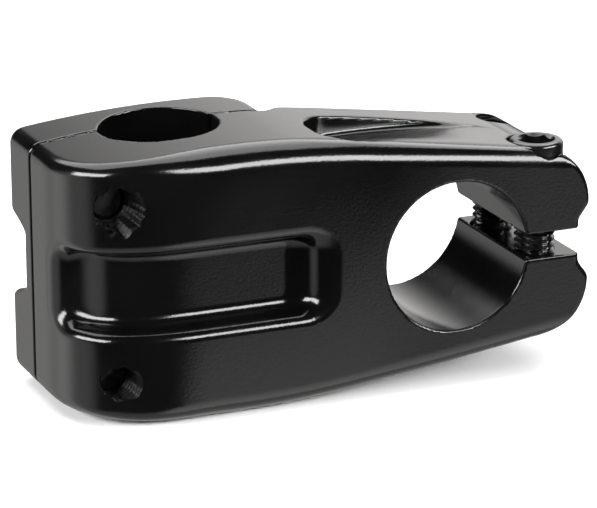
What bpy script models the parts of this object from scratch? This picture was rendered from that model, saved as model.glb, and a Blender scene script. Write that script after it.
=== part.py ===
"""Freestyle bicycle handlebar stem, lying on its side: 22.2 mm bar clamp, 28.6 mm steerer clamp.

The handlebar axis is vertical (Z), the stem reaches from the bar clamp towards the steerer clamp
along +X, and +Y is the side that faces up on the bicycle. Lengths below are in metres and are
measured from the handlebar axis at mid width; FRAME moves them to the frame of the part.
"""
import math

import bmesh
import bpy
from mathutils import Vector

MM = 0.001

# Clamped tubes and their positions
BAR_R = 11.1 * MM
STEERER_R = 14.3 * MM
REACH = 50.0 * MM
BORE_EDGE = 0.3 * MM

# Outer block
FRONT_X = -24.2 * MM
REAR_X = 77.3 * MM
NEAR_Y = -23.0 * MM
FAR_Y = 7.0 * MM
HALF_WIDTH = 25.4 * MM
CROWN_X = 8.0 * MM
CROWN_FRONT_R = 225.0 * MM
CROWN_REAR_R = 195.0 * MM
TAPER = 0.125
FRONT_FILLET = 2.4 * MM
NEAR_FILLET = 4.4 * MM
FAR_FILLET = 3.0 * MM
ROUND_X = 2.0 * MM
ROUND_Y = -3.0 * MM
ROUND_POWER = 2.75

# Joint plane between the body and the cap
SEAM_Y = 2.5 * MM
GAP = 0.3 * MM
SEAM_END_X = 22.3 * MM

# Cap
CAP_REAR_X = 22.0 * MM
CAP_TOP_Y = 16.0 * MM
CAP_FILLET = 2.4 * MM
CAP_CORNER = 4.9 * MM
GROOVE_FLOOR = 7.0 * MM
GROOVE_R = 15.2 * MM
GROOVE_FLAT = 4.6 * MM
GROOVE_EDGE = 9.4 * MM

# Steerer clamp: slit, ears and notch
SLIT = 4.8 * MM
EAR_R = 11.2 * MM
EAR_Z = 7.5 * MM
NOTCH_X = 75.2 * MM

# Side pockets
POCKET_FLOOR = 19.3 * MM
POCKET_FRONT = 25.4 * MM
POCKET_NEAR_Y = -19.4 * MM
POCKET_VALLEY_Y = -5.0 * MM
POCKET_FAR_CORNER = 7.6 * MM
POCKET_NEAR_CORNER = 6.0 * MM

# Recess in the near face
RECESS_HALF = 7.2 * MM
RECESS_DEPTH = 4.8 * MM
RECESS_LIP = 2.3 * MM
RECESS_ROOT = 2.4 * MM
RECESS_CORNER = 3.4 * MM
RECESS_END_X = 23.4 * MM
RECESS_FRONT_Y = -9.0 * MM

# Bolts, M8 x 1.25 with reduced heads; the shank is drawn at the pitch diameter
SHANK_R = 3.5 * MM
HOLE_R = 3.8 * MM
HEAD_R = 5.1 * MM
HEAD_H = 7.0 * MM
BORE_R = 5.5 * MM
HEX = 6.0 * MM
HEX_DEPTH = 4.0 * MM
HEX_TURN = math.radians(-23)
HEAD_EDGE = 0.5 * MM
CAP_BOLT_X = 15.5 * MM
CAP_BOLT_Z = 16.3 * MM
CAP_SEAT_Y = 7.4 * MM
CAP_BOLT_LENGTH = 22.0 * MM
BLIND_Y = -15.5 * MM
PINCH_X = 68.7 * MM
PINCH_Y = (-17.0 * MM, 1.0 * MM)
PINCH_SEAT = 11.8 * MM
PINCH_LENGTH = 25.0 * MM

FRAME = Vector((-(FRONT_X + REAR_X) / 2, -(NEAR_Y + CAP_TOP_Y) / 2, HALF_WIDTH))


def half_width(x):
    """Distance of a side face from mid width: arcs over the bar clamp, then a straight taper."""
    turn = CROWN_X + CROWN_REAR_R * TAPER
    reach = min(x, turn) - CROWN_X
    bend = CROWN_FRONT_R if reach < 0 else CROWN_REAR_R
    return HALF_WIDTH - reach * reach / (2 * bend) - TAPER * max(x - turn, 0.0)


def material(name, colour, roughness, metallic):
    made = bpy.data.materials.new(name)
    made.use_nodes = True
    shader = made.node_tree.nodes["Principled BSDF"]
    shader.inputs["Base Color"].default_value = (*colour, 1.0)
    shader.inputs["Roughness"].default_value = roughness
    shader.inputs["Metallic"].default_value = metallic
    return made


def new_object(name, points, faces, origin=(0.0, 0.0, 0.0)):
    """A mesh object whose points are given from the handlebar axis, with its origin there too."""
    mesh = bpy.data.meshes.new(name)
    start = Vector(origin)
    mesh.from_pydata([Vector(p) - start for p in points], [], faces)
    bm = bmesh.new()
    bm.from_mesh(mesh)
    bmesh.ops.recalc_face_normals(bm, faces=bm.faces)
    bm.to_mesh(mesh)
    bm.free()
    made = bpy.data.objects.new(name, mesh)
    made.location = FRAME + start
    bpy.context.scene.collection.objects.link(made)
    return made


def ladder(name, rings):
    """A closed solid from rings of equal length. The second half of each ring runs back beside the
    first half, and both end rings are filled with cross strips between the halves."""
    size = len(rings[0])
    half = size // 2
    points = [p for ring in rings for p in ring]
    faces = []
    for k in range(len(rings) - 1):
        for i in range(size):
            j = (i + 1) % size
            faces.append((k * size + i, k * size + j, (k + 1) * size + j, (k + 1) * size + i))
    for base in (0, (len(rings) - 1) * size):
        for i in range(half - 1):
            faces.append((base + i, base + i + 1, base + size - 2 - i, base + size - 1 - i))
    return new_object(name, points, faces)


def prism(name, outline, axis, low, high):
    """The outline drawn in the two other axes, drawn out along one axis."""
    others = [a for a in range(3) if a != axis]
    points = []
    for level in (low, high):
        for flat in outline:
            point = [0.0, 0.0, 0.0]
            point[axis] = level
            point[others[0]], point[others[1]] = flat
            points.append(point)
    n = len(outline)
    faces = [tuple(range(n)), tuple(range(n, 2 * n))]
    faces += [(i, (i + 1) % n, n + (i + 1) % n, n + i) for i in range(n)]
    return new_object(name, points, faces)


def lathe(name, centre, axis, profile, sides, turn=0.0):
    """A closed turned solid: profile holds (position along the axis, radius) pairs."""
    others = [a for a in range(3) if a != axis]
    points = []
    for along, radius in profile:
        for i in range(sides):
            angle = turn + 2 * math.pi * i / sides
            point = list(centre)
            point[axis] = along
            point[others[0]] += radius * math.cos(angle)
            point[others[1]] += radius * math.sin(angle)
            points.append(point)
    faces = [tuple(range(sides)), tuple(range((len(profile) - 1) * sides, len(points)))]
    for k in range(len(profile) - 1):
        for i in range(sides):
            j = (i + 1) % sides
            faces.append((k * sides + i, k * sides + j, (k + 1) * sides + j, (k + 1) * sides + i))
    return new_object(name, points, faces, centre)


def cut(target, cutter, operation="DIFFERENCE"):
    step = target.modifiers.new(cutter.name, "BOOLEAN")
    step.operation = operation
    step.solver = "EXACT"
    step.object = cutter
    cutter.hide_render = True
    cutter.display_type = "WIRE"


def outline_normals(near, far):
    """Outward directions along a closed outline, whose far side is listed from its rear end."""
    ring = near + far
    n = len(near)
    found = []
    for i in range(len(ring)):
        before = ring[i - 1]
        after = ring[(i + 1) % len(ring)]
        if i in (n - 1, n) and abs(ring[n - 1][0] - ring[n][0]) < 1e-9 and ring[n][0] > REAR_X:
            before, after = (ring[i - 1], ring[i]) if i == n - 1 else (ring[i], ring[i + 1])
        along = Vector((after[0] - before[0], after[1] - before[1]))
        found.append(Vector((along.y, -along.x)).normalized())
    return found


def rounded_block(name, near, far, radii, steps=5):
    """A block with filleted edges. Near and far are the two sides of the flat part of a side face,
    and radii holds the fillet radius at each of their points."""
    ring = near + far
    normals = outline_normals(near, far)
    levels = []
    for k in range(steps + 1):
        turn = math.pi / 2 * (1 - k / steps)
        level = []
        for flat, normal, radius in zip(ring, normals, radii):
            x = flat[0] + normal.x * radius * math.cos(turn)
            y = flat[1] + normal.y * radius * math.cos(turn)
            level.append((x, y, half_width(x) - radius * (1 - math.sin(turn))))
        levels.append(level)
    lower = [[(x, y, -z) for x, y, z in level] for level in levels]
    return ladder(name, lower + levels[::-1])


def front_arc(t):
    """Point and outward direction on the front of the bar clamp; t runs from 0 to 90 degrees."""
    along = math.cos(t) ** (2 / ROUND_POWER)
    across = math.sin(t) ** (2 / ROUND_POWER)
    reach = ROUND_X - FRONT_X
    drop = ROUND_Y - NEAR_Y
    normal = (along ** (ROUND_POWER - 1) / reach, across ** (ROUND_POWER - 1) / drop)
    return Vector((ROUND_X - reach * along, ROUND_Y - drop * across)), -Vector(normal).normalized()


def body_block():
    near = []
    radii = []
    for degrees in (0, 4, 9, 15, 22, 29, 36, 43, 50, 57, 64, 71, 78, 84, 90):
        point, normal = front_arc(math.radians(degrees))
        radii.append(FRONT_FILLET + (NEAR_FILLET - FRONT_FILLET) * abs(normal.y))
        near.append(tuple(point - normal * radii[-1]))
    near += [(x * MM, NEAR_Y + NEAR_FILLET) for x in (5, 8, 11, 14, 17, 20, 24, 28, 33, 50, 65, 84)]
    far_y = FAR_Y - FAR_FILLET
    far = [(x, far_y) for x, y in reversed(near)]
    radii += [NEAR_FILLET] * (len(near) - len(radii))
    radii += [FRONT_FILLET if x < 0 else FAR_FILLET for x, y in far]
    return rounded_block("stem_body", near, far, radii)


def ear_outline():
    """Plan outline of the steerer clamp's rear end, drawn in X and Z."""
    centre_x = REAR_X - EAR_R
    upper = [(centre_x - 8 * MM, 40 * MM), (centre_x + 1.2 * MM, 40 * MM)]
    for degrees in (83, 72, 61, 50, 40, 30, 20, 10, 0):
        turn = math.radians(degrees)
        upper.append((centre_x + EAR_R * math.cos(turn), EAR_Z + EAR_R * math.sin(turn)))
    for back, height in ((0.3, 6.9), (0.9, 5.9), (1.6, 5.0), (2.0, 4.0)):
        upper.append((REAR_X - back * MM, height * MM))
    upper.append((NOTCH_X, SLIT / 4))
    lower = [(x, -z) for x, z in reversed(upper)]
    return [(-40 * MM, 40 * MM)] + upper + lower + [(-40 * MM, -40 * MM)]


def pocket_span(x):
    """Far and near limits in Y of a side pocket at one X, rounded in at its front."""
    far = -1.2 * MM - 6.8 * (x - 38 * MM) ** 2
    near = POCKET_NEAR_Y
    for radius, way in ((POCKET_FAR_CORNER, -1), (POCKET_NEAR_CORNER, 1)):
        short = max(radius - (x - POCKET_FRONT), 0.0)
        inset = radius - math.sqrt(max(radius * radius - short * short, 0.0))
        if way < 0:
            far -= inset
        else:
            near += inset
    return far, near


def pocket_cutter(side):
    """A side pocket: a flat floor at the front that turns into a ramp up to the near edge."""
    rings = []
    stations = [0.05, 0.5, 1.2, 2.2, 3.5, 5.0, 6.5, 8.0, 11, 14, 18, 23, 28, 33, 38, 41]
    for x in [POCKET_FRONT + step * MM for step in stations]:
        far, near = pocket_span(x)
        ramp = min(max((x - 28 * MM) / (14 * MM), 0.0), 1.0)
        ramp = ramp * ramp * (3 - 2 * ramp)
        slope = ramp * max(half_width(x) - POCKET_FLOOR, 0.0) / (POCKET_VALLEY_Y - POCKET_NEAR_Y)
        floor = []
        for part in (0.0, 0.12, 0.25, 0.4, 0.55, 0.7, 0.85, 1.0):
            y = far + (near - far) * part
            floor.append((x, y, side * (POCKET_FLOOR + slope * max(POCKET_VALLEY_Y - y, 0.0))))
        rings.append(floor + [(x, y, side * 40 * MM) for x, y, _ in reversed(floor)])
    return ladder("cut_pocket_upper" if side > 0 else "cut_pocket_lower", rings)


def surface_path():
    """Points and outward directions along the near face, from the front of the clamp rearwards."""
    path = [front_arc(math.radians(t)) for t in range(0, 90, 3)]
    path += [(Vector((x * MM, NEAR_Y)), Vector((0.0, -1.0))) for x in range(2, 40, 2)]
    return path


def on_path(path, lengths, s):
    """The point and the outward direction at distance s along the path."""
    for i in range(len(path) - 1):
        if s <= lengths[i + 1] or i == len(path) - 2:
            part = (s - lengths[i]) / (lengths[i + 1] - lengths[i])
            point = path[i][0].lerp(path[i + 1][0], part)
            return point, path[i][1].lerp(path[i + 1][1], min(part, 1.0)).normalized()


def recess_rings(start, end, stations):
    """Rings of the recess, in distance along the face, height and depth below the face."""
    profile = [(5.05 * MM, -1.0 * MM)]
    for degrees in (20, 43, 66, 90):
        turn = math.radians(degrees)
        out = RECESS_LIP * (1 - math.sin(turn))
        profile.append((out, RECESS_LIP * (1 - math.cos(turn))))
    for degrees in (0, 30, 60, 90):
        turn = math.radians(degrees)
        back = RECESS_ROOT * (1 - math.cos(turn))
        profile.append((-back, RECESS_DEPTH - RECESS_ROOT * (1 - math.sin(turn))))
    rings = []
    for out, depth in profile:
        radius = RECESS_CORNER + out
        side = []
        for degrees in (90, 68, 45, 22, 0):
            turn = math.radians(degrees)
            s = start + RECESS_CORNER - radius * math.sin(turn)
            side.append((s, RECESS_HALF - RECESS_CORNER + radius * math.cos(turn)))
        for i in range(1, stations):
            s = start + RECESS_CORNER + (end - start - 2 * RECESS_CORNER) * i / stations
            side.append((s, RECESS_HALF + out))
        for degrees in (0, 22, 45, 68, 90):
            turn = math.radians(degrees)
            s = end - RECESS_CORNER + radius * math.sin(turn)
            side.append((s, RECESS_HALF - RECESS_CORNER + radius * math.cos(turn)))
        ring = [(s, -z, depth) for s, z in side] + [(s, z, depth) for s, z in reversed(side)]
        rings.append(ring)
    return rings


def recess_cutter():
    path = surface_path()
    lengths = [0.0]
    for i in range(1, len(path)):
        lengths.append(lengths[-1] + (path[i][0] - path[i - 1][0]).length)
    start = next(s for s, (p, _) in zip(lengths, path) if p.y < RECESS_FRONT_Y)
    end = next(s for s, (p, _) in zip(lengths, path) if p.x > RECESS_END_X)
    rings = []
    for ring in recess_rings(start, end, 18):
        placed = []
        for s, z, depth in ring:
            point, normal = on_path(path, lengths, s)
            flat = point - normal * depth
            placed.append((flat.x, flat.y, z))
        rings.append(placed)
    return ladder("cut_near_recess", rings)


def bore_profile(low, high, radius, edge):
    """A bore between two faces, widened by a small chamfer at both."""
    return [
        (low - 2 * MM, radius + edge + 2 * MM),
        (low + edge, radius),
        (high - edge, radius),
        (high + 2 * MM, radius + edge + 2 * MM),
    ]


def cut_bar_saddle(target, open_side):
    bore = lathe("cut_bar_" + open_side, (0.0, 0.0, 0.0), 2, [(-40 * MM, BAR_R), (40 * MM, BAR_R)], 72)
    cut(target, bore)
    if open_side == "body":
        wall = [(-BAR_R, 0.0), (BAR_R, 0.0), (BAR_R, 9 * MM), (-BAR_R, 9 * MM)]
        cut(target, prism("cut_bar_entry", wall, 2, -40 * MM, 40 * MM))


def stem_body():
    """Bar saddle, neck and split steerer clamp in one piece."""
    body = body_block()
    cut(body, prism("cut_ears", ear_outline(), 1, -60 * MM, 60 * MM), "INTERSECT")
    top = SEAM_Y - GAP / 2
    step = [(-40 * MM, top), (SEAM_END_X, top), (SEAM_END_X, 40 * MM), (-40 * MM, 40 * MM)]
    cut(body, prism("cut_seam_step", step, 2, -40 * MM, 40 * MM))
    cut_bar_saddle(body, "body")
    bore = bore_profile(NEAR_Y, FAR_Y, STEERER_R, BORE_EDGE)
    cut(body, lathe("cut_steerer", (REACH, 0.0, 0.0), 1, bore, 80))
    slit = [(REACH, -SLIT / 2), (90 * MM, -SLIT / 2), (90 * MM, SLIT / 2), (REACH, SLIT / 2)]
    cut(body, prism("cut_slit", slit, 1, -60 * MM, 60 * MM))
    cut(body, pocket_cutter(1))
    cut(body, pocket_cutter(-1))
    cut(body, recess_cutter())
    for x, end in ((-CAP_BOLT_X, -40 * MM), (CAP_BOLT_X, BLIND_Y)):
        for z in (CAP_BOLT_Z, -CAP_BOLT_Z):
            name = f"cut_body_hole_{x / MM:.0f}_{z / MM:.0f}"
            cut(body, lathe(name, (x, 0.0, z), 1, [(end, HOLE_R), (9 * MM, HOLE_R)], 28))
    for y, side in zip(PINCH_Y, (1, -1)):
        seat = side * PINCH_SEAT
        profile = [(-side * 40 * MM, HOLE_R), (seat, HOLE_R), (seat, BORE_R), (side * 40 * MM, BORE_R)]
        cut(body, lathe(f"cut_pinch_{y / MM:.0f}", (PINCH_X, y, 0.0), 2, profile, 32))
    return body


def cap_block():
    front = FRONT_X + CAP_FILLET
    rear = CAP_REAR_X - CAP_FILLET
    top = CAP_TOP_Y - CAP_FILLET
    far = [(front, 9.0 * MM)]
    for degrees in (25, 50, 75, 90):
        turn = math.radians(degrees)
        far.append((front + 1.2 * MM * (1 - math.cos(turn)), top - 1.2 * MM * (1 - math.sin(turn))))
    far += [(x * MM, top) for x in (-15, -12, -9, -6, -3, 0, 3, 6, 8, 10.5, 13)]
    for degrees in (85, 70, 56, 42, 28, 14, 0):
        turn = math.radians(degrees)
        far.append((rear - CAP_CORNER * (1 - math.cos(turn)), top - CAP_CORNER * (1 - math.sin(turn))))
    near = [(x, -4 * MM) for x, y in far]
    return rounded_block("clamp_cap", near, far[::-1], [CAP_FILLET] * (2 * len(far)))


def groove_cutter():
    """The waist across the cap: thin flanges and an arc over the bar, rising to both bosses."""
    across = [-10.5, -9.4, -8.6, -7.8, -7.0, -6.2, -5.4, -4.6, 0.0, 4.6, 5.4, 6.2, 7.0, 7.8, 8.6, 9.4, 10.5]
    stations = [-30, -26, -22, -18, -15.4, -14.2, -13, -11, -8.5, -5.7, -2.8, 0]
    stations += [-x for x in stations[-2::-1]]
    high = CAP_TOP_Y + 1.0 * MM
    rings = []
    for z in across:
        part = (abs(z) * MM - GROOVE_FLAT) / (GROOVE_EDGE - GROOVE_FLAT)
        part = min(max(part, 0.0), 1.0)
        rise = part * part * (3 - 2 * part)
        side = []
        for x in stations:
            arc = GROOVE_R * GROOVE_R - (x * MM) ** 2
            floor = max(GROOVE_FLOOR, math.sqrt(arc)) if arc > 0 else GROOVE_FLOOR
            side.append((x * MM, floor + (high - floor) * rise, z * MM))
        rings.append(side + [(x, high + 5 * MM, z * MM) for x, _, _ in reversed(side)])
    return ladder("cut_cap_groove", rings)


def clamp_cap():
    """Cap over the handlebar, with a counterbore for each of its four bolts."""
    cap = cap_block()
    low = SEAM_Y + GAP / 2
    under = [(-40 * MM, low), (40 * MM, low), (40 * MM, -40 * MM), (-40 * MM, -40 * MM)]
    cut(cap, prism("cut_cap_underside", under, 2, -40 * MM, 40 * MM))
    cut_bar_saddle(cap, "cap")
    cut(cap, groove_cutter())
    for x in (-CAP_BOLT_X, CAP_BOLT_X):
        for z in (CAP_BOLT_Z, -CAP_BOLT_Z):
            profile = [(-9 * MM, HOLE_R), (CAP_SEAT_Y, HOLE_R), (CAP_SEAT_Y, BORE_R), (40 * MM, BORE_R)]
            cut(cap, lathe(f"cut_cap_{x / MM:.0f}_{z / MM:.0f}", (x, 0.0, z), 1, profile, 32))
    return cap


def socket_bolt(name, seat, axis, side, length):
    """A bolt with a hexagon socket. Its head stands on the seat point, on the given side of it."""
    lift = GAP * side
    start = seat[axis] + lift
    profile = [
        (start - side * length, SHANK_R - 0.7 * MM),
        (start - side * (length - 0.7 * MM), SHANK_R),
        (start, SHANK_R),
        (start, HEAD_R),
        (start + side * (HEAD_H - HEAD_EDGE), HEAD_R),
        (start + side * HEAD_H, HEAD_R - HEAD_EDGE),
    ]
    bolt = lathe(name, seat, axis, profile, 32)
    floor = start + side * (HEAD_H - HEX_DEPTH)
    corner = HEX / math.sqrt(3)
    turn = HEX_TURN if axis == 2 else math.pi / 6
    hexagon = [(floor, corner), (floor + side * 9 * MM, corner)]
    cut(bolt, lathe("cut_hex_" + name, seat, axis, hexagon, 6, turn))
    return bolt


def bolts():
    made = []
    for x, along in ((-CAP_BOLT_X, "front"), (CAP_BOLT_X, "rear")):
        for z, level in ((CAP_BOLT_Z, "upper"), (-CAP_BOLT_Z, "lower")):
            name = f"cap_bolt_{along}_{level}"
            made.append(socket_bolt(name, (x, CAP_SEAT_Y, z), 1, 1, CAP_BOLT_LENGTH))
    for y, side, level in zip(PINCH_Y, (1, -1), ("upper", "lower")):
        seat = (PINCH_X, y, side * PINCH_SEAT)
        made.append(socket_bolt(f"pinch_bolt_{level}", seat, 2, side, PINCH_LENGTH))
    return made


def finish(piece, look):
    piece.data.materials.append(look)
    mesh = piece.data
    mesh.shade_smooth()
    mesh.set_sharp_from_angle(angle=math.radians(28))


def build():
    for old in list(bpy.data.objects):
        bpy.data.objects.remove(old, do_unlink=True)
    finish(stem_body(), material("black_paint_body", (0.012, 0.012, 0.013), 0.25, 0.0))
    finish(clamp_cap(), material("black_paint_cap", (0.013, 0.013, 0.014), 0.25, 0.0))
    for bolt in bolts():
        finish(bolt, material("black_steel_" + bolt.name, (0.03, 0.03, 0.032), 0.3, 1.0))


build()
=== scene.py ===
"""Looks of the handlebar stem: final meshes, paint, steel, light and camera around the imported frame.

Shapes are worked out in millimetres from the handlebar's axis at mid width: X runs towards the
steerer, Y away from the near face and Z along the handlebar. The two forged pieces are solids given
by distance functions, meshed on a grid and moved onto the exact surface. Threads are cut into them.
"""
import math

import bpy
import numpy as np
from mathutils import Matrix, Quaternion, Vector


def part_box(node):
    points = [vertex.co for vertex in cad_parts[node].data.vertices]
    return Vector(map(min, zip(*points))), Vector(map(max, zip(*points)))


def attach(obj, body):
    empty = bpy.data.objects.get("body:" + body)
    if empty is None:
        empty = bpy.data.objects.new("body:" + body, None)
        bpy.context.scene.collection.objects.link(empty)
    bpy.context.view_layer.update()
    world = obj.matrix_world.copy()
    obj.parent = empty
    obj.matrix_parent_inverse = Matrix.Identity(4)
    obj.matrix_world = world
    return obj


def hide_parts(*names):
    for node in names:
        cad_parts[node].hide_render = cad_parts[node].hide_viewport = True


MM = 0.001

# Clamped tubes
BAR_R = 11.1
STEERER_R = 14.3
REACH = 50.0

# Outer block
FRONT_REACH = 24.2
NEAR_REACH = 23.0
FAR_Y = 7.0
HALF_WIDTH = 25.4
CROWN_X = 8.0
CROWN_FRONT_R = 225.0
CROWN_REAR_R = 195.0
TAPER = 0.125
CROWN_END = CROWN_X + CROWN_REAR_R * TAPER
FRONT_FILLET = 2.4
NEAR_FILLET = 4.4
FAR_FILLET = 3.0
ROUND_X = 2.0
ROUND_Y = -3.0
ROUND_POWER = 2.75
NEAR_DRAFT = 0.6

# The near face's fillet grows and its draft fades over these spans
FILLET_SPAN_X = (-14.0, 4.0)
DRAFT_SPAN_X = (30.0, 52.0)
DRAFT_SPAN_Y = (3.0, 12.0)

# Seam between body and cap, and the slanted step behind the cap
SEAM_Y = 2.5
SEAM_END_X = 22.3
SEAM_GAP = 0.75
SEAM_EDGE = 0.3
STEP_SLOPE = 1.2

# Edges of bores, holes and slit
BORE_EDGE = 0.3
CUT_EDGE = 0.35

# Cap
CAP_REAR_X = 22.0
CAP_TOP_Y = 16.0
GROOVE_FLOOR = 7.0
GROOVE_R = 15.2
GROOVE_FLAT = 4.6
GROOVE_EDGE = 9.4
GROOVE_BLEND = 4.0
GROOVE_LIP = 1.3
CAP_FRONT_EDGE = 3.2
CAP_REAR_EDGE = 7.2

# Steerer clamp
SLIT = 4.8
REAR_X = 77.3
EAR_R = 11.2
EAR_Z = 7.5
EAR_FLARE = 0.15
EAR_EDGE = 0.9
NOTCH_DEPTH = 2.1
NOTCH_SPAN_Z = (3.6, 7.6)

# Side pockets and the recess in the near face
POCKET_FLOOR = 19.3
POCKET_FRONT = 25.4
POCKET_NEAR_Y = -19.4
POCKET_VALLEY_Y = -5.0
POCKET_FAR_X = 38.0
POCKET_FAR_Y = -1.2
POCKET_FAR_BEND = 0.0068
POCKET_FAR_CORNER = 7.6
POCKET_NEAR_CORNER = 6.0
POCKET_LIP = 0.6
POCKET_ROOT = 1.2
RAMP_SPAN_X = (28.0, 42.0)
RAMP_ROUND = 1.5
RECESS_HALF = 7.2
RECESS_DEPTH = 4.8
RECESS_LIP = 2.3
RECESS_ROOT = 2.4
RECESS_CORNER = 3.4
RECESS_END_X = 23.0
RECESS_FRONT_Y = -9.0
RECESS_END_SLANT = 0.6
RECESS_END_SCALE = 0.8

# Bolts
PITCH = 1.25
THREAD_R = 3.98
THREAD_DEPTH = 0.62
THREAD_PLAY = 0.1
THREAD_EXTRA = 0.06
THREAD_TOP_Y = 8.0
ROOT_FLAT = 0.12
FLANK = 0.76
TIP_LENGTH = 0.9
TIP_INSET = 0.55
TIP_SLOPE = 1.3
NECK_EXTRA = 0.1
CLEAR_R = 4.2
HEAD_GAP = 0.3
HEAD_R = 5.1
HEAD_H = 7.0
HEAD_EDGE = 0.8
UNDER_EDGE = 0.35
LEAD_INSET = 0.6
LEAD_EXTRA = 0.15
LEAD_RISE = 1.2
HEX = 6.0
HEX_DEPTH = 4.0
HEX_TURN = math.radians(-23)
BORE_R = 5.5
CAP_BOLT_X = 15.5
CAP_BOLT_Z = 16.3
CAP_SEAT_Y = 7.4
CAP_BOLT_LENGTH = 22.0
BLIND_Y = -15.5
PINCH_X = 68.7
PINCH_Y = (-17.0, 1.0)
PINCH_SEAT = 11.8
PINCH_LENGTH = 25.0
THROUGH = 40.0
AROUND = 60

# Mouths of the threads in the near face: how much wider, how torn and how far off centre
STRAIGHT = (0.0, 0.0, 0.0)
TORN_MOUTH = (0.55, 0.7, 0.5)
CLOGGED_MOUTH = (-0.45, 0.12, 0.3)
MOUTH_SPAN_Y = (13.0, 20.0)

# Grid steps of the two forged pieces
BODY_STEP = 0.46
CAP_STEP = 0.42

# A point this near the exact surface takes its normal, if it faces its own face this well
ON_SURFACE = 0.02
FACING = 0.3
SHARP_DEGREES = 32

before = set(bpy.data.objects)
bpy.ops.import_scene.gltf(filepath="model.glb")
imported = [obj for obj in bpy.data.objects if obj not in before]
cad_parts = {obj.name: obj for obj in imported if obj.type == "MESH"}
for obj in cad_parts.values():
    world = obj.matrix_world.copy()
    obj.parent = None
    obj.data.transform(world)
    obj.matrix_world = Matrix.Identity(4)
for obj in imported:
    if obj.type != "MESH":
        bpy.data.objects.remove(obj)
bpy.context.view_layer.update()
body_low, body_high = (np.array(corner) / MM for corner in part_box("stem_body"))
AXIS = np.array([
    body_low[0] + FRONT_REACH,
    body_low[1] + NEAR_REACH,
    (body_low[2] + body_high[2]) / 2,
])


# ---------------------------------------------------------------- distance functions

def common(a, b, radius):
    """What two solids have in common, with the edge between them rounded to a radius."""
    corner = np.hypot(np.maximum(a + radius, 0), np.maximum(b + radius, 0))
    return np.minimum(np.maximum(a, b), -radius) + corner


def without(solid, tool, radius):
    """What a tool leaves of a solid, with the edge between them rounded to a radius."""
    return common(solid, -tool, radius)


def ease(low, high, value):
    """A smooth step from 0 at low to 1 at high."""
    part = np.clip((value - low) / (high - low), 0, 1)
    return part * part * (3 - 2 * part)


def side(x, z):
    """Distance outside the side faces: arcs over the bar clamp, then a straight taper."""
    reach = np.minimum(x, CROWN_END) - CROWN_X
    bend = np.where(reach < 0, CROWN_FRONT_R, CROWN_REAR_R)
    width = HALF_WIDTH - reach ** 2 / (2 * bend) - TAPER * np.maximum(x - CROWN_END, 0)
    return (np.abs(z) - width) / np.hypot(1, reach / bend)


def front_round(x, y):
    """The rounded front corner as fractions of its two reaches, both 0 behind and beside it."""
    along = np.maximum(ROUND_X - x, 0) / (FRONT_REACH + ROUND_X)
    across = np.maximum(ROUND_Y - y, 0) / (NEAR_REACH + ROUND_Y)
    return along, across


def outline(x, y):
    """Distance outside the near face and the front of the bar clamp."""
    along, across = front_round(x, y)
    size = (along ** ROUND_POWER + across ** ROUND_POWER) ** (1 / ROUND_POWER)
    size = np.maximum(size, 1e-4)
    power = ROUND_POWER - 1
    slope_x = (along / size) ** power / (FRONT_REACH + ROUND_X)
    slope_y = (across / size) ** power / (NEAR_REACH + ROUND_Y)
    return (size - 1) / np.maximum(np.hypot(slope_x, slope_y), 1e-2)


def corner_lengths():
    """Length along the front corner, from the front face, at each direction round it."""
    turn = np.linspace(0, math.pi / 2, 200)
    spread = (np.cos(turn) ** ROUND_POWER + np.sin(turn) ** ROUND_POWER) ** (-1 / ROUND_POWER)
    x = spread * np.cos(turn) * (FRONT_REACH + ROUND_X)
    y = spread * np.sin(turn) * (NEAR_REACH + ROUND_Y)
    steps = np.hypot(np.diff(x), np.diff(y))
    return turn, np.concatenate([[0], np.cumsum(steps)]), y


CORNER_TURN, CORNER_LENGTH, CORNER_ACROSS = corner_lengths()


def path_length(x, y):
    """Distance along the outline from the start of the front corner."""
    along, across = front_round(x, y)
    round_part = np.interp(np.arctan2(across, along + 1e-9), CORNER_TURN, CORNER_LENGTH)
    return round_part + np.maximum(x - ROUND_X, 0) - np.maximum(y - ROUND_Y, 0)


RECESS_START = float(np.interp(ROUND_Y - RECESS_FRONT_Y, CORNER_ACROSS, CORNER_LENGTH))
RECESS_END = float(CORNER_LENGTH[-1]) + RECESS_END_X - ROUND_X


def tube(u, v, radius):
    """Distance outside a cylinder round the axis where u and v are 0."""
    return np.hypot(u, v) - radius


def recess(x, y, z):
    """The recess that follows the near face round to the front."""
    middle = (RECESS_START + RECESS_END) / 2
    half = (RECESS_END - RECESS_START) / 2 - RECESS_CORNER
    slant = RECESS_END_SLANT * np.clip(outline(x, y), -RECESS_DEPTH, 0)
    along = RECESS_END_SCALE * (np.abs(path_length(x, y) - middle) - half) - slant
    across = np.abs(z) - (RECESS_HALF - RECESS_CORNER)
    flat = np.minimum(np.maximum(along, across), 0)
    wall = np.hypot(np.maximum(along, 0), np.maximum(across, 0)) + flat - RECESS_CORNER
    return common(wall, -outline(x, y) - RECESS_DEPTH, RECESS_ROOT)


def pocket(x, y, z):
    """A side pocket: a flat floor at the front that turns into a ramp up to the near edge."""
    far = y - POCKET_FAR_Y + POCKET_FAR_BEND * (x - POCKET_FAR_X) ** 2
    wall = common(POCKET_FRONT - x, far, POCKET_FAR_CORNER)
    wall = common(wall, POCKET_NEAR_Y - y, POCKET_NEAR_CORNER)
    reach = np.minimum(x, CROWN_END) - CROWN_X
    width = HALF_WIDTH - reach ** 2 / (2 * CROWN_REAR_R) - TAPER * np.maximum(x - CROWN_END, 0)
    rise = np.maximum(width - POCKET_FLOOR, 0) / (POCKET_VALLEY_Y - POCKET_NEAR_Y)
    down = POCKET_VALLEY_Y - y
    ramp = ease(*RAMP_SPAN_X, x) * rise * (down + np.hypot(down, RAMP_ROUND)) / 2
    return common(wall, POCKET_FLOOR + ramp - np.abs(z), POCKET_ROOT)


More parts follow.
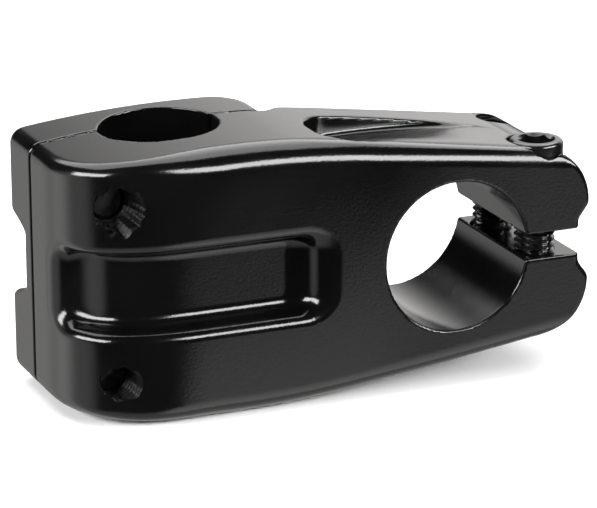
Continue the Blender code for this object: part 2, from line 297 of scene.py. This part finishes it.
def ears(x, z):
    """The rear end of the steerer clamp seen from the near side, with a notch at the slit."""
    start = REAR_X - EAR_R
    height = np.abs(z)
    bend = tube(np.maximum(x - start, 0), np.maximum(height - EAR_Z, 0), EAR_R)
    bend = bend - EAR_FLARE * np.maximum(start - x, 0)
    notch = x - REAR_X + NOTCH_DEPTH * (1 - ease(*NOTCH_SPAN_Z, height))
    return np.maximum(bend, notch * 0.9)


def pinch_holes(x, y, z):
    """Clearance hole and counterbore of both pinch bolts."""
    found = None
    for bolt_y, up in zip(PINCH_Y, (1, -1)):
        off = np.hypot(x - PINCH_X, y - bolt_y)
        seat = np.maximum(off - BORE_R, PINCH_SEAT - up * z)
        hole = np.minimum(seat, np.maximum(off - CLEAR_R, -up * z))
        found = hole if found is None else np.minimum(found, hole)
    return found


def body_solid(x, y, z):
    """Distance outside the stem's body, before its threads are cut."""
    fillet = FRONT_FILLET + (NEAR_FILLET - FRONT_FILLET) * ease(*FILLET_SPAN_X, x)
    fade = 1 - ease(*DRAFT_SPAN_X, x)
    draft = NEAR_DRAFT * (z / HALF_WIDTH) ** 2 * fade * ease(*DRAFT_SPAN_Y, -y)
    solid = common(outline(x, y - draft), side(x, z), fillet)
    solid = common(solid, y - FAR_Y, FAR_FILLET)
    solid = common(solid, ears(x, z), EAR_EDGE)
    solid = without(solid, pocket(x, y, z), POCKET_LIP)
    solid = without(solid, recess(x, y, z), RECESS_LIP)
    step = (x - SEAM_END_X - STEP_SLOPE * (y - SEAM_Y)) / math.hypot(1, STEP_SLOPE)
    seam = np.maximum(step, SEAM_Y - SEAM_GAP / 2 - y)
    solid = without(solid, seam, SEAM_EDGE)
    bar = np.minimum(tube(x, y, BAR_R), np.maximum(np.abs(x) - BAR_R, -y))
    solid = without(solid, bar, BORE_EDGE)
    solid = without(solid, tube(x - REACH, z, STEERER_R), CUT_EDGE)
    solid = without(solid, np.maximum(np.abs(z) - SLIT / 2, REACH - x), CUT_EDGE)
    return without(solid, pinch_holes(x, y, z), CUT_EDGE)


def groove(x, y, z):
    """Distance above the waist across the cap: flanges and an arc over the bar, between bosses."""
    part = np.clip((np.abs(z) - GROOVE_FLAT) / (GROOVE_EDGE - GROOVE_FLAT), 0, 1)
    rise = part * part * (3 - 2 * part)
    arc = np.sqrt(np.maximum(GROOVE_R ** 2 - x ** 2, 1.0))
    gap = np.clip(0.5 + (arc - GROOVE_FLOOR) / GROOVE_BLEND, 0, 1)
    waist = GROOVE_FLOOR + (arc - GROOVE_FLOOR) * gap + GROOVE_BLEND / 2 * gap * (1 - gap)
    high = CAP_TOP_Y + 1.0
    slope_z = (high - waist) * 6 * part * (1 - part) / (GROOVE_EDGE - GROOVE_FLAT)
    slope_x = np.where(gap > 0.5, x / arc, 0) * (1 - rise)
    return (y - waist - (high - waist) * rise) / np.sqrt(1 + slope_z ** 2 + slope_x ** 2)


def cap_solid(x, y, z):
    """Distance outside the clamp cap."""
    front = common(-FRONT_REACH - x, y - CAP_TOP_Y, CAP_FRONT_EDGE)
    shape = common(front, x - CAP_REAR_X, CAP_REAR_EDGE)
    solid = common(shape, side(x, z), FRONT_FILLET)
    solid = common(solid, groove(x, y, z), GROOVE_LIP)
    solid = common(solid, SEAM_Y + SEAM_GAP / 2 - y, SEAM_EDGE)
    solid = without(solid, tube(x, y, BAR_R), BORE_EDGE)
    off = tube(np.abs(x) - CAP_BOLT_X, np.abs(z) - CAP_BOLT_Z, 0)
    holes = np.minimum(off - CLEAR_R, np.maximum(off - BORE_R, CAP_SEAT_Y - y))
    return without(solid, holes, CUT_EDGE)


# ---------------------------------------------------------------- meshing

def gradient(solid, points, step=0.01):
    """Slope of a solid's distance at each point."""
    found = np.empty_like(points)
    for axis in range(3):
        shift = np.zeros(3)
        shift[axis] = step
        ahead = solid(*(points + shift).T)
        behind = solid(*(points - shift).T)
        found[:, axis] = (ahead - behind) / (2 * step)
    return found


def onto_surface(solid, points, limit):
    """Moves points along the gradient until they lie on the solid's surface."""
    for _ in range(5):
        slope = gradient(solid, points)
        move = slope * (solid(*points.T) / np.maximum((slope ** 2).sum(1), 0.05))[:, None]
        length = np.linalg.norm(move, axis=1, keepdims=True)
        points = points - move * np.minimum(1, limit / np.maximum(length, 1e-9))
    return points


def grid_mesh(solid, low, high, step):
    """Points and quads of the solid's surface, with one point in each grid cell it crosses."""
    lines = [np.arange(a, b + step, step) for a, b in zip(low, high)]
    shape = tuple(len(line) for line in lines)
    value = np.broadcast_to(solid(*np.ix_(*lines)), shape).astype(np.float32)
    inside = value < 0
    total = np.zeros((value.size, 3))
    count = np.zeros(value.size)
    strides = np.array([shape[1] * shape[2], shape[2], 1])
    quads = []
    for axis in range(3):
        ahead = [slice(None)] * 3
        behind = [slice(None)] * 3
        ahead[axis] = slice(1, None)
        behind[axis] = slice(None, -1)
        first, second = value[tuple(behind)], value[tuple(ahead)]
        crossed = np.argwhere(inside[tuple(behind)] != inside[tuple(ahead)])
        at = tuple(crossed.T)
        part = first[at] / (first[at] - second[at])
        where = np.stack([lines[k][crossed[:, k]] for k in range(3)], 1)
        where[:, axis] += part * step
        u, v = [k for k in range(3) if k != axis]
        base = crossed @ strides
        lower = base - strides[v]
        cells = np.stack([lower - strides[u], lower, base, base - strides[u]], 1)
        for k in range(4):
            count += np.bincount(cells[:, k], minlength=value.size)
            for d in range(3):
                total[:, d] += np.bincount(cells[:, k], where[:, d], value.size)
        turn = inside[tuple(behind)][at] != (axis == 1)
        quads.append(np.where(turn[:, None], cells, cells[:, ::-1]))
    used = np.flatnonzero(count)
    index = np.full(value.size, -1)
    index[used] = np.arange(len(used))
    points = total[used] / count[used, None]
    return onto_surface(solid, points, step / 2), index[np.concatenate(quads)].tolist()


def made_object(name, points, faces):
    """An object from points in millimetres from the handlebar's axis."""
    mesh = bpy.data.meshes.new(name)
    mesh.from_pydata((np.asarray(points) + AXIS) * MM, [], faces)
    made = bpy.data.objects.new(name, mesh)
    bpy.context.scene.collection.objects.link(made)
    return made


def ring_faces(rows, around):
    """Quads of a tube of rings, open at both ends."""
    faces = []
    for k in range(rows - 1):
        for i in range(around):
            j = (i + 1) % around
            low, high = k * around, (k + 1) * around
            faces.append((low + i, low + j, high + j, high + i))
    return faces


def turned(centre, axis, levels, radii):
    """Points of a turned shape. Radii has one row for each level along the axis."""
    around = radii.shape[1]
    angles = 2 * math.pi * np.arange(around) / around
    u, v = [k for k in range(3) if k != axis]
    points = np.empty((len(levels), around, 3))
    points[:] = centre
    points[:, :, axis] = np.asarray(levels)[:, None]
    points[:, :, u] += radii * np.cos(angles)
    points[:, :, v] += radii * np.sin(angles)
    return points.reshape(-1, 3)


def closed_turn(name, centre, axis, levels, radii):
    """A turned shape closed by a fan at each end."""
    rows, around = radii.shape
    points = turned(centre, axis, levels, radii)
    ends = np.array([points[:around].mean(0), points[-around:].mean(0)])
    faces = ring_faces(rows, around)
    last = len(points)
    for i in range(around):
        j = (i + 1) % around
        faces.append((j, i, last))
        faces.append(((rows - 1) * around + i, (rows - 1) * around + j, last + 1))
    made = made_object(name, np.concatenate([points, ends]), faces)
    outward(made)
    return made


def outward(made):
    """Turns a closed mesh the right way out."""
    mesh = made.data
    mesh.calc_loop_triangles()
    corners = np.empty(len(mesh.loop_triangles) * 3, np.int32)
    mesh.loop_triangles.foreach_get("vertices", corners)
    points = np.empty(len(mesh.vertices) * 3)
    mesh.vertices.foreach_get("co", points)
    triangles = points.reshape(-1, 3)[corners.reshape(-1, 3)]
    if np.linalg.det(triangles).sum() < 0:
        mesh.flip_normals()


def thread(levels, angles, axis):
    """Height of a right-hand M8 thread's flank, from 0 in the root to 1 on the crest."""
    hand = -1 if axis == 1 else 1
    turns = levels[:, None] / PITCH - hand * angles[None, :] / (2 * math.pi)
    wave = np.abs(2 * (turns % 1) - 1)
    return np.clip((wave - ROOT_FLAT) / FLANK, 0, 1)


def cut_with(target, tool):
    """Cuts the tool from the target and removes the tool."""
    step = target.modifiers.new("cut", "BOOLEAN")
    step.operation = "DIFFERENCE"
    step.solver = "MANIFOLD"
    step.object = tool
    graph = bpy.context.evaluated_depsgraph_get()
    mesh = bpy.data.meshes.new_from_object(target.evaluated_get(graph))
    target.modifiers.clear()
    target.data = mesh
    bpy.data.objects.remove(tool)


def torn_edge(angles):
    """Uneven outline of a thread that breaks out through a slanting wall, from -1 to 1."""
    teeth = np.abs(2 * ((angles * 15 / (2 * math.pi) + 0.35 * np.sin(3 * angles)) % 1) - 1)
    return 0.7 * (2 * teeth - 1) + 0.3 * np.sin(4 * angles + 1.0)


def thread_tool(centre, axis, low, high, mouth=STRAIGHT):
    """A threaded plug. Mouth says how much it widens towards low, how torn it is and its lean."""
    widen, torn, lean = mouth
    around = 2 * AROUND if torn else AROUND
    levels = np.arange(low, high, PITCH / 10)
    angles = 2 * math.pi * np.arange(around) / around
    radii = THREAD_R + THREAD_EXTRA - THREAD_DEPTH * (1 - thread(levels, angles, axis))
    opened = ease(*MOUTH_SPAN_Y, -levels)[:, None]
    below = np.clip(-0.2 - np.sin(angles), 0, 1)
    radii = radii + opened * (widen + torn * torn_edge(angles) * (0.35 + below))
    radii = radii + opened * lean * (np.cos(angles) - np.sin(angles))
    return closed_turn("thread_tool", centre, axis, levels, radii)


def bolt(name, seat, axis, side_sign, length):
    """A socket bolt whose head stands on the seat, towards side_sign along the axis."""
    start = seat[axis] + HEAD_GAP * side_sign
    angles = 2 * math.pi * np.arange(AROUND) / AROUND
    along = np.arange(0, length + 1e-6, PITCH / 10)
    levels = start - side_sign * (length - along)
    crest = THREAD_R - THREAD_PLAY - THREAD_DEPTH * (1 - thread(levels, angles, axis))
    tip = np.minimum(along, TIP_LENGTH)[:, None]
    shank = np.minimum(crest, THREAD_R - THREAD_DEPTH - TIP_INSET + tip * TIP_SLOPE)
    rows = [(level, row) for level, row in zip(levels, shank)]
    flat = np.ones(AROUND)
    rows.append((start, flat * (THREAD_R + NECK_EXTRA)))
    rows.append((start, flat * (HEAD_R - UNDER_EDGE)))
    for degrees in (22, 45, 67, 90):
        turn = math.radians(degrees)
        lift = UNDER_EDGE * (1 - math.cos(turn))
        wide = HEAD_R - UNDER_EDGE * (1 - math.sin(turn))
        rows.append((start + side_sign * lift, flat * wide))
    for degrees in range(0, 91, 15):
        turn = math.radians(degrees)
        lift = HEAD_H - HEAD_EDGE * (1 - math.sin(turn))
        wide = HEAD_R - HEAD_EDGE * (1 - math.cos(turn))
        rows.append((start + side_sign * lift, flat * wide))
    made = closed_turn(name, seat, axis, *(np.array(column) for column in zip(*rows)))
    cut_socket(made, seat, axis, side_sign, start + side_sign * HEAD_H)
    return made


def cut_socket(made, seat, axis, side_sign, top):
    """Cuts a bolt's hexagonal socket and the cone that leads into it."""
    corner = HEX / math.sqrt(3)
    turn = HEX_TURN if axis == 2 else math.pi / 6
    hexagon = np.full((2, 6), corner)
    ends = [top - side_sign * HEX_DEPTH, top + side_sign * 2]
    cut_with(made, hex_tool(seat, axis, ends, hexagon, turn))
    radii = (HEX / 2 - LEAD_INSET, corner + LEAD_EXTRA, corner + LEAD_RISE)
    lead = np.array([[radius] * 48 for radius in radii])
    depth = corner - HEX / 2 + LEAD_INSET
    levels = np.array([top - side_sign * depth, top, top + side_sign * LEAD_RISE])
    cut_with(made, closed_turn("lead_in", seat, axis, levels, lead))


def hex_tool(centre, axis, levels, radii, turn):
    """A hexagonal bar along an axis, turned by an angle."""
    u, v = [k for k in range(3) if k != axis]
    angles = turn + 2 * math.pi * np.arange(6) / 6
    points = []
    for level, row in zip(levels, radii):
        for angle, radius in zip(angles, row):
            point = list(centre)
            point[axis] = level
            point[u] += radius * math.cos(angle)
            point[v] += radius * math.sin(angle)
            points.append(point)
    faces = [tuple(range(6)), tuple(range(11, 5, -1))]
    faces += [(i, 6 + i, 6 + (i + 1) % 6, (i + 1) % 6) for i in range(6)]
    made = made_object("hex_tool", points, faces)
    outward(made)
    return made


def smooth_by_angle(made):
    """Smooth shading, except across sharp edges."""
    made.data.shade_smooth()
    made.data.set_sharp_from_angle(angle=math.radians(SHARP_DEGREES))


def exact_normals(made, solid):
    """Shades faces on the distance function's surface with its exact normals. The rest, which the
    threads cut, take their own normals and the second material."""
    mesh = made.data
    mesh.shade_smooth()
    points = np.empty(len(mesh.vertices) * 3)
    mesh.vertices.foreach_get("co", points)
    points = points.reshape(-1, 3) / MM - AXIS
    slope = gradient(solid, points)
    slope /= np.maximum(np.linalg.norm(slope, axis=1, keepdims=True), 1e-9)
    on = np.abs(solid(*points.T)) < ON_SURFACE
    loops = np.empty(len(mesh.loops), np.int32)
    mesh.loops.foreach_get("vertex_index", loops)
    starts = np.empty(len(mesh.polygons), np.int32)
    mesh.polygons.foreach_get("loop_start", starts)
    face_of = np.repeat(np.arange(len(starts)), np.diff(np.append(starts, len(loops))))
    flat = np.empty(len(mesh.polygons) * 3)
    mesh.polygons.foreach_get("normal", flat)
    flat = flat.reshape(-1, 3)
    good = np.bincount(face_of, ~on[loops], len(starts)) == 0
    along = (slope[loops] * flat[face_of]).sum(1)
    good &= np.bincount(face_of, along < FACING, len(starts)) == 0
    area = np.empty(len(mesh.polygons))
    mesh.polygons.foreach_get("area", area)
    own = np.zeros((len(points), 3))
    cut_loop = ~good[face_of]
    for d in range(3):
        weight = flat[face_of[cut_loop], d] * area[face_of[cut_loop]]
        own[:, d] = np.bincount(loops[cut_loop], weight, len(points))
    own /= np.maximum(np.linalg.norm(own, axis=1, keepdims=True), 1e-12)
    normals = np.where(cut_loop[:, None], own[loops], slope[loops])
    mesh.normals_split_custom_set(normals.tolist())
    # The threaded faces take the second material, the thread paint whose darker black is partly
    # painted shade in the holes.
    mesh.polygons.foreach_set("material_index", (~good).astype(np.int32))


# ---------------------------------------------------------------- materials

def nodes_of(name):
    """A new material, its node tree and its shader."""
    made = bpy.data.materials.new(name)
    made.use_nodes = True
    tree = made.node_tree
    return made, tree, tree.nodes["Principled BSDF"]


def noise(tree, scale, detail, roughness):
    """Noise that stays with the piece when it moves."""
    where = tree.nodes.new("ShaderNodeTexCoord")
    made = tree.nodes.new("ShaderNodeTexNoise")
    made.inputs["Scale"].default_value = scale
    made.inputs["Detail"].default_value = detail
    made.inputs["Roughness"].default_value = roughness
    tree.links.new(where.outputs["Object"], made.inputs["Vector"])
    return made


def ranged(tree, source, low, high):
    """Spreads the middle of a noise over a range of values."""
    made = tree.nodes.new("ShaderNodeMapRange")
    made.inputs["From Min"].default_value = 0.3
    made.inputs["From Max"].default_value = 0.7
    made.inputs["To Min"].default_value = low
    made.inputs["To Max"].default_value = high
    tree.links.new(source, made.inputs["Value"])
    return made.outputs["Result"]


def bump(tree, shader, layers):
    """Stacks bump layers, each (height socket, depth in metres)."""
    normal = None
    for height, depth in layers:
        made = tree.nodes.new("ShaderNodeBump")
        made.inputs["Strength"].default_value = 1.0
        made.inputs["Distance"].default_value = depth
        tree.links.new(height, made.inputs["Height"])
        if normal:
            tree.links.new(normal, made.inputs["Normal"])
        normal = made.outputs["Normal"]
    tree.links.new(normal, shader.inputs["Normal"])


def tinted(tree, shader, source, dark, light):
    """Varies the base colour between two by a noise."""
    made = tree.nodes.new("ShaderNodeValToRGB")
    made.color_ramp.elements[0].position = 0.35
    made.color_ramp.elements[0].color = (*dark, 1)
    made.color_ramp.elements[1].position = 0.65
    made.color_ramp.elements[1].color = (*light, 1)
    tree.links.new(source, made.inputs["Fac"])
    tree.links.new(made.outputs["Color"], shader.inputs["Base Color"])


def gloss_paint(name):
    """Black powder coat with a fine orange peel."""
    made, tree, shader = nodes_of(name)
    peel = noise(tree, 1900, 2.0, 0.5)
    grain = noise(tree, 3200, 1.0, 0.5)
    cloud = noise(tree, 45, 3.0, 0.6)
    tinted(tree, shader, cloud.outputs["Fac"], (0.0016, 0.0015, 0.0015), (0.0030, 0.0028, 0.0028))
    tree.links.new(ranged(tree, cloud.outputs["Fac"], 0.11, 0.17), shader.inputs["Roughness"])
    bump(tree, shader, [(peel.outputs["Fac"], 0.000013), (grain.outputs["Fac"], 0.000008)])
    shader.inputs["IOR"].default_value = 1.5
    return made


def thread_paint_with_painted_shade(name):
    """The same paint where it lies thick and dull in the threads, with painted shade: a darker, less
    reflective black that darkens the threaded holes.
    """
    made, tree, shader = nodes_of(name)
    cloud = noise(tree, 900, 3.0, 0.6)
    tinted(tree, shader, cloud.outputs["Fac"], (0.001, 0.001, 0.001), (0.003, 0.003, 0.003))
    tree.links.new(ranged(tree, cloud.outputs["Fac"], 0.3, 0.5), shader.inputs["Roughness"])
    bump(tree, shader, [(cloud.outputs["Fac"], 0.00006)])
    shader.inputs["IOR"].default_value = 1.28
    return made


def black_steel(name):
    """Black oxide steel, slightly oily."""
    made, tree, shader = nodes_of(name)
    cloud = noise(tree, 400, 3.0, 0.6)
    grain = noise(tree, 3000, 2.0, 0.5)
    tinted(tree, shader, cloud.outputs["Fac"], (0.002, 0.002, 0.0022), (0.006, 0.006, 0.0065))
    tree.links.new(ranged(tree, cloud.outputs["Fac"], 0.12, 0.22), shader.inputs["Roughness"])
    bump(tree, shader, [(grain.outputs["Fac"], 0.00001)])
    shader.inputs["IOR"].default_value = 1.6
    return made


# ---------------------------------------------------------------- pieces

def finish_piece(made, node, body, slot, *looks):
    """Gives a piece its materials, in the order of its faces' indices, and its place in the frame."""
    faces = made.data.polygons
    index = np.empty(len(faces), np.int32)
    faces.foreach_get("material_index", index)
    made.data.materials.clear()
    for look in looks:
        made.data.materials.append(look)
    faces.foreach_set("material_index", np.minimum(index, len(looks) - 1))
    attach(made, body)
    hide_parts(node)


def stem_body():
    """The stem's body, with the threads of six bolts."""
    low = (-FRONT_REACH - 1, -NEAR_REACH - 1, -HALF_WIDTH - 1)
    high = (REAR_X + 1, FAR_Y + 1, HALF_WIDTH + 1)
    made = made_object("body_forging", *grid_mesh(body_solid, low, high, BODY_STEP))
    for x, end in ((-CAP_BOLT_X, -THROUGH), (CAP_BOLT_X, BLIND_Y)):
        for z in (CAP_BOLT_Z, -CAP_BOLT_Z):
            mouth = STRAIGHT if x > 0 else TORN_MOUTH if z > 0 else CLOGGED_MOUTH
            cut_with(made, thread_tool((x, 0.0, z), 1, end, THREAD_TOP_Y, mouth))
    for y, up in zip(PINCH_Y, (1, -1)):
        ends = sorted((-up * THROUGH, 0.0))
        cut_with(made, thread_tool((PINCH_X, y, 0.0), 2, *ends))
    exact_normals(made, body_solid)
    # The second look is dull paint in the threads and painted shade that darkens the threaded holes.
    looks = (gloss_paint("black_powder_coat_body"), thread_paint_with_painted_shade("black_thread_paint_with_painted_shade"))
    finish_piece(made, "stem_body", "stem", "stem_body", *looks)


def clamp_cap():
    """The cap over the handlebar."""
    low = (-FRONT_REACH - 1, SEAM_Y - 1, -HALF_WIDTH - 1)
    high = (CAP_REAR_X + 1, CAP_TOP_Y + 1, HALF_WIDTH + 1)
    made = made_object("cap_forging", *grid_mesh(cap_solid, low, high, CAP_STEP))
    exact_normals(made, cap_solid)
    finish_piece(made, "clamp_cap", "cap", "clamp_cap", gloss_paint("black_powder_coat_cap"))


def bolts():
    """Four cap bolts and two pinch bolts."""
    steel = black_steel("black_oxide_steel")
    for x, along in ((-CAP_BOLT_X, "front"), (CAP_BOLT_X, "rear")):
        for z, level in ((CAP_BOLT_Z, "upper"), (-CAP_BOLT_Z, "lower")):
            node = f"cap_bolt_{along}_{level}"
            made = bolt(node + "_socket_screw", (x, CAP_SEAT_Y, z), 1, 1, CAP_BOLT_LENGTH)
            smooth_by_angle(made)
            finish_piece(made, node, node, "bolt", steel)
    for y, up, level in zip(PINCH_Y, (1, -1), ("upper", "lower")):
        node = f"pinch_bolt_{level}"
        made = bolt(node + "_socket_screw", (PINCH_X, y, up * PINCH_SEAT), 2, up, PINCH_LENGTH)
        smooth_by_angle(made)
        finish_piece(made, node, node, "bolt", steel)


# ---------------------------------------------------------------- stage, light and camera

# Where the camera looks, and its distance in millimetres
FORWARD = Vector((0.3702, 0.8779, -0.3035)).normalized()
TARGET = Vector((27.73, 0.0, -3.32))
DISTANCE = 651.8
LENS = 208.7
ROLL = math.radians(0.2)

# The floor in metres, and where and how it bends up into a wall
FLOOR_HALF = 4.0
BEND_START = 1.2
BEND_R = 0.8
BEND_STEPS = 24
WALL_TOP = 3.0


def camera():
    """The camera that faces the near side from the front and above."""
    data = bpy.data.cameras.new("camera")
    data.lens = LENS
    data.sensor_width = 36.0
    data.clip_start = 0.05
    data.clip_end = 20.0
    made = bpy.data.objects.new("camera", data)
    made.location = (TARGET + Vector(AXIS) - FORWARD * DISTANCE) * MM
    made.rotation_mode = "QUATERNION"
    roll = Quaternion((0.0, 0.0, 1.0), -ROLL)
    made.rotation_quaternion = FORWARD.to_track_quat("-Z", "Y") @ roll
    bpy.context.scene.collection.objects.link(made)
    bpy.context.scene.camera = made


def floor():
    """A plain pale floor that bends up behind the object."""
    profile = [(-FLOOR_HALF, 0.0), (BEND_START, 0.0)]
    for i in range(1, BEND_STEPS + 1):
        turn = math.pi / 2 * i / BEND_STEPS
        profile.append((BEND_START + BEND_R * math.sin(turn), BEND_R * (1 - math.cos(turn))))
    profile.append((BEND_START + BEND_R, WALL_TOP))
    points = []
    for y, z in profile:
        points += [(-FLOOR_HALF, y, z), (FLOOR_HALF, y, z)]
    faces = [(2 * i, 2 * i + 1, 2 * i + 3, 2 * i + 2) for i in range(len(profile) - 1)]
    mesh = bpy.data.meshes.new("floor")
    mesh.from_pydata(points, [], faces)
    mesh.shade_smooth()
    made = bpy.data.objects.new("floor", mesh)
    bpy.context.scene.collection.objects.link(made)
    look, _, shader = nodes_of("pale_floor")
    shader.inputs["Base Color"].default_value = (0.9, 0.9, 0.9, 1)
    shader.inputs["Roughness"].default_value = 0.9
    shader.inputs["Specular IOR Level"].default_value = 0.0
    made.data.materials.append(look)
    made.visible_glossy = False


def softbox(name, direction, distance, width, height, radiance):
    """An area light that faces the object. Its power comes from the radiance seen in a mirror."""
    data = bpy.data.lights.new(name, "AREA")
    data.shape = "RECTANGLE"
    data.size = width
    data.size_y = height
    data.energy = radiance * math.pi * width * height
    made = bpy.data.objects.new(name, data)
    away = Vector(direction).normalized()
    made.location = Vector(AXIS) * MM + Vector((REACH * MM / 2, 0, 0)) + away * distance
    made.rotation_mode = "QUATERNION"
    made.rotation_quaternion = (-away).to_track_quat("-Z", "Y")
    bpy.context.scene.collection.objects.link(made)


def toward(tree, where, direction, low, high, dark, bright):
    """Radiance that rises from dark to bright as a reflection turns towards a direction."""
    dot = tree.nodes.new("ShaderNodeVectorMath")
    dot.operation = "DOT_PRODUCT"
    dot.inputs[1].default_value = Vector(direction).normalized()
    tree.links.new(where, dot.inputs[0])
    made = tree.nodes.new("ShaderNodeMapRange")
    made.interpolation_type = "SMOOTHSTEP"
    made.inputs["From Min"].default_value = low
    made.inputs["From Max"].default_value = high
    made.inputs["To Min"].default_value = dark
    made.inputs["To Max"].default_value = bright
    tree.links.new(dot.outputs["Value"], made.inputs["Value"])
    return made.outputs["Result"]


def combined(tree, operation, first, second):
    """One value worked out from two."""
    made = tree.nodes.new("ShaderNodeMath")
    made.operation = operation
    tree.links.new(first, made.inputs[0])
    tree.links.new(second, made.inputs[1])
    return made.outputs["Value"]


def surroundings():
    """A studio: a bright wall behind to the right, a pale table, and soft light from the left,
    from low in front and from below."""
    world = bpy.data.worlds.new("studio")
    bpy.context.scene.world = world
    world.use_nodes = True
    tree = world.node_tree
    where = tree.nodes.new("ShaderNodeTexCoord").outputs["Generated"]
    behind = toward(tree, where, (0, 1, 0), 0.1, 0.5, 0.0, 1.0)
    above = toward(tree, where, (0, 0, 1), -0.05, 0.12, 0.0, 1.0)
    below = toward(tree, where, (0, 0, -1), -0.12, 0.05, 0.0, 1.0)
    wall = toward(tree, where, (1, 0, 0), 0.00, 0.60, 0.02, 1.65)
    table = toward(tree, where, (1, 0, 0), -0.60, 0.20, 0.85, 0.30)
    wall = combined(tree, "MULTIPLY", combined(tree, "MULTIPLY", wall, above), behind)
    table = combined(tree, "MULTIPLY", combined(tree, "MULTIPLY", table, below), behind)
    left = toward(tree, where, (-0.95, 0.20, -0.25), 0.72, 0.95, 0.0, 0.85)
    front = toward(tree, where, (0.50, -0.62, -0.60), 0.890, 0.945, 0.0, 1.0)
    under = toward(tree, where, (0.1, -0.1, -1.0), 0.45, 0.85, 0.0, 0.7)
    behind_both = combined(tree, "ADD", wall, table)
    before = combined(tree, "ADD", combined(tree, "ADD", left, front), under)
    total = combined(tree, "ADD", behind_both, before)
    tree.links.new(total, tree.nodes["Background"].inputs["Strength"])
    tree.nodes["Background"].inputs["Color"].default_value = (1.0, 0.985, 0.975, 1)


def lights():
    """A softbox overhead and a long strip on each side: distance, width, height and radiance."""
    softbox("overhead_softbox", (0.1, 0.42, 1.0), 1.2, 1.6, 1.5, 3.6)
    softbox("strip_right", (0.72, -0.88, 0.47), 1.2, 1.2, 0.38, 16.0)
    softbox("strip_left", (-0.90, -0.24, 0.46), 1.2, 1.1, 0.38, 17.0)


stem_body()
clamp_cap()
bolts()
camera()
floor()
surroundings()
lights()
bpy.context.scene.view_settings.view_transform = "Standard"
bpy.context.view_layer.update()
